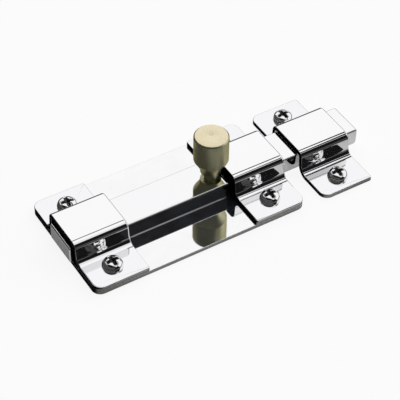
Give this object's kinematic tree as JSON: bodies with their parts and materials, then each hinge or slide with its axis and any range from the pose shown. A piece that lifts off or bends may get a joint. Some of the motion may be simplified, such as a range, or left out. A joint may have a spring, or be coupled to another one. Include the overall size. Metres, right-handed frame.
{
  "type": "flat bar bolt",
  "caption": "Surface-mounted sliding flat bar bolt: base plate, hat-section guides, a matching separate keeper, a turned pull knob and pan head screws.",
  "frame": {"origin": "middle of the base plate's back face, midway between the four guide screws", "axes": "+X along the bar towards its tip, +Y across the bar to the back, +Z out of the door"},
  "size_m": [0.1126, 0.047, 0.0366],
  "materials": {
    "polished_metal": "polished",
    "bar_metal": "polished",
    "screw_metal": "polished",
    "knob_brass": "satin"
  },
  "bodies": {
    "door_side": {"base_plate": "polished_metal", "rear_guide": "polished_metal", "front_guide": "polished_metal", "keeper": "polished_metal", "rear_guide_screw_front": "screw_metal", "rear_guide_screw_back": "screw_metal", "front_guide_screw_front": "screw_metal", "front_guide_screw_back": "screw_metal", "keeper_screw_front": "screw_metal", "keeper_screw_back": "screw_metal"},
    "bolt": {"bolt_bar": "bar_metal", "knob": "knob_brass"}
  },
  "joints": [
    {"name": "bolt_slide", "type": "slide", "parent": "door_side", "child": "bolt", "axis": [1, 0, 0], "range_m": [-0.0325, 0]}
  ]
}
